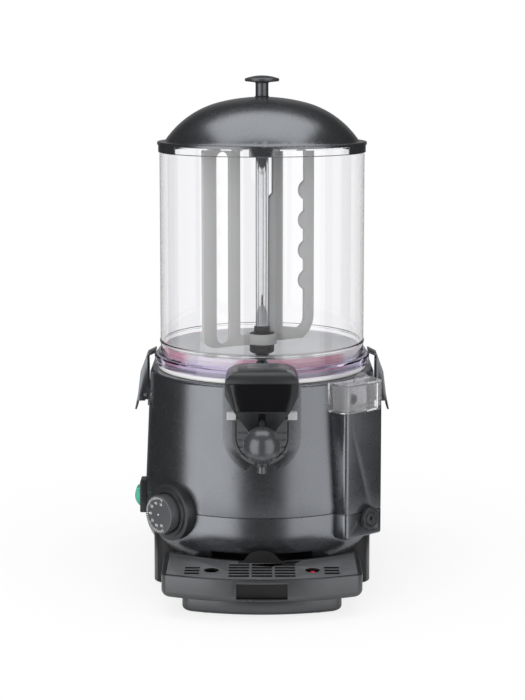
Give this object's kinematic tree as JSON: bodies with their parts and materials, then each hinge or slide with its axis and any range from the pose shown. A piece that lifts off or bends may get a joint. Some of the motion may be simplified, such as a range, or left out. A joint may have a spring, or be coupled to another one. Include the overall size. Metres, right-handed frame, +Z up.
{
  "type": "heated drink dispenser",
  "caption": "Heated drink dispenser: domed lid, clear bowl with stirring paddle, lever tap, water filler, dial, side latches and pull-out drip tray on a pedestal.",
  "frame": {"origin": "middle of the box's footprint, on the surface the feet stand on; the bowl's axis is X = 0, Y = 0", "axes": "+Z up, -Y is the front with the tap, +X is to the right seen from the front"},
  "size_m": [0.297, 0.41, 0.58],
  "materials": {
    "body": "satin",
    "base": "satin",
    "black": "matte",
    "gloss_black": "gloss",
    "clear": "clear polycarbonate",
    "milky": "translucent",
    "white": "satin",
    "grey": "satin",
    "seal": "silicone",
    "rubber": "matte",
    "steel": "brushed",
    "chrome": "polished",
    "motor": "painted",
    "brass": "plain",
    "red": "gloss",
    "green": "translucent",
    "spring": "bright"
  },
  "bodies": {
    "body": {"upper_housing": "body", "lower_housing": "body", "pedestal": "base", "front_foot": "base", "base_plate": "base", "rubber_feet": "rubber", "rear_panel": "black", "panel_screws": "steel", "cord_gland": "black", "bath_tank": "steel", "bath_rim": "white", "heating_element": "steel", "bowl_floor": "steel", "bowl_seal": "seal", "bowl": "clear", "shaft_bush": "white", "gear_motor": "motor", "motor_bracket": "steel", "motor_screws": "steel", "drain_pipe": "brass", "filler_box": "body", "filler_cup": "clear", "filler_tube": "white", "tap_backplate": "body", "tap_surround": "body", "tap_barrel": "black", "tap_nozzle": "black", "tap_hood": "black", "name_plate": "gloss_black", "lever_pin": "steel", "dial_ring": "black", "thermostat": "steel", "switch_frame": "black", "latch_brackets": "body", "latch_pins": "steel"},
    "lid": {"lid": "body", "lid_knob": "black", "lid_knob_screw": "steel"},
    "stirrer": {"mixer_column": "chrome", "shaft_collar": "black", "stirrer_hub": "black", "stirrer_paddle": "milky", "drive_shaft": "steel"},
    "tap_lever": {"tap_lever": "black", "ball_knob": "black"},
    "tap_piston": {"tap_piston": "white", "piston_seals": "seal", "piston_pin": "steel", "tap_spring": "spring"},
    "right_latch": {"right_latch": "body", "right_latch_spring": "spring"},
    "left_latch": {"left_latch": "body", "left_latch_spring": "spring"},
    "filler_lid": {"filler_lid": "clear"},
    "dial_knob": {"dial_knob": "black"},
    "switch_rocker": {"switch_rocker": "green"},
    "drip_tray": {"drip_tray": "black"},
    "drip_grid": {"drip_grid": "black"},
    "tray_float": {"tray_float": "red"},
    "drain_plug": {"drain_plug": "black"}
  },
  "joints": [
    {"name": "lid_lift", "type": "slide", "parent": "body", "child": "lid", "axis": [0, 0, 1], "range_m": [0, 0.12]},
    {"name": "stirrer_spin", "type": "hinge", "parent": "body", "child": "stirrer", "pos_m": [0, 0, 0.3], "axis": [0, 0, 1], "continuous": true},
    {"name": "tap_lever_lift", "type": "hinge", "parent": "body", "child": "tap_lever", "pos_m": [0, -0.1355, 0.2105], "axis": [-1, 0, 0], "range_deg": [0, 15], "stiffness_Nm_per_rad": 0.4, "springref_deg": -14.32},
    {"name": "tap_piston_lift", "type": "slide", "parent": "body", "child": "tap_piston", "axis": [0, 0, 1], "range_m": [0, 0.0033], "deforming": ["tap_spring"]},
    {"name": "right_latch_open", "type": "hinge", "parent": "body", "child": "right_latch", "pos_m": [0.1367, 0, 0.2093], "axis": [0, 1, 0], "range_deg": [0, 16], "stiffness_Nm_per_rad": 0.3, "springref_deg": -17.19, "deforming": ["right_latch_spring"]},
    {"name": "left_latch_open", "type": "hinge", "parent": "body", "child": "left_latch", "pos_m": [-0.1367, 0, 0.2093], "axis": [0, -1, 0], "range_deg": [0, 16], "stiffness_Nm_per_rad": 0.3, "springref_deg": -17.19, "deforming": ["left_latch_spring"]},
    {"name": "filler_lid_open", "type": "hinge", "parent": "body", "child": "filler_lid", "pos_m": [0.10011, -0.08933, 0.23975], "axis": [-0.7719, -0.6357, 0], "range_deg": [0, 72]},
    {"name": "dial_turn", "type": "hinge", "parent": "body", "child": "dial_knob", "pos_m": [-0.09871, -0.09871, 0.0935], "axis": [-0.7071, -0.7071, 0], "range_deg": [0, 270]},
    {"name": "switch_rock", "type": "hinge", "parent": "body", "child": "switch_rocker", "pos_m": [-0.137, -0.02, 0.092], "axis": [0, 1, 0], "range_deg": [0, 14]},
    {"name": "tray_slide", "type": "slide", "parent": "body", "child": "drip_tray", "axis": [0, -1, 0], "range_m": [0, 0.12]},
    {"name": "grid_lift", "type": "slide", "parent": "drip_tray", "child": "drip_grid", "axis": [0, 0, 1], "range_m": [0, 0.006]},
    {"name": "float_rise", "type": "slide", "parent": "drip_tray", "child": "tray_float", "axis": [0, 0, 1], "range_m": [0, 0.008]},
    {"name": "drain_plug_out", "type": "slide", "parent": "body", "child": "drain_plug", "axis": [0.6357, -0.7719, 0], "range_m": [0, 0.012]}
  ],
  "couplings": [
    {"joint": "tap_piston_lift", "follows": "tap_lever_lift", "m_per_rad": 0.0115}
  ]
}
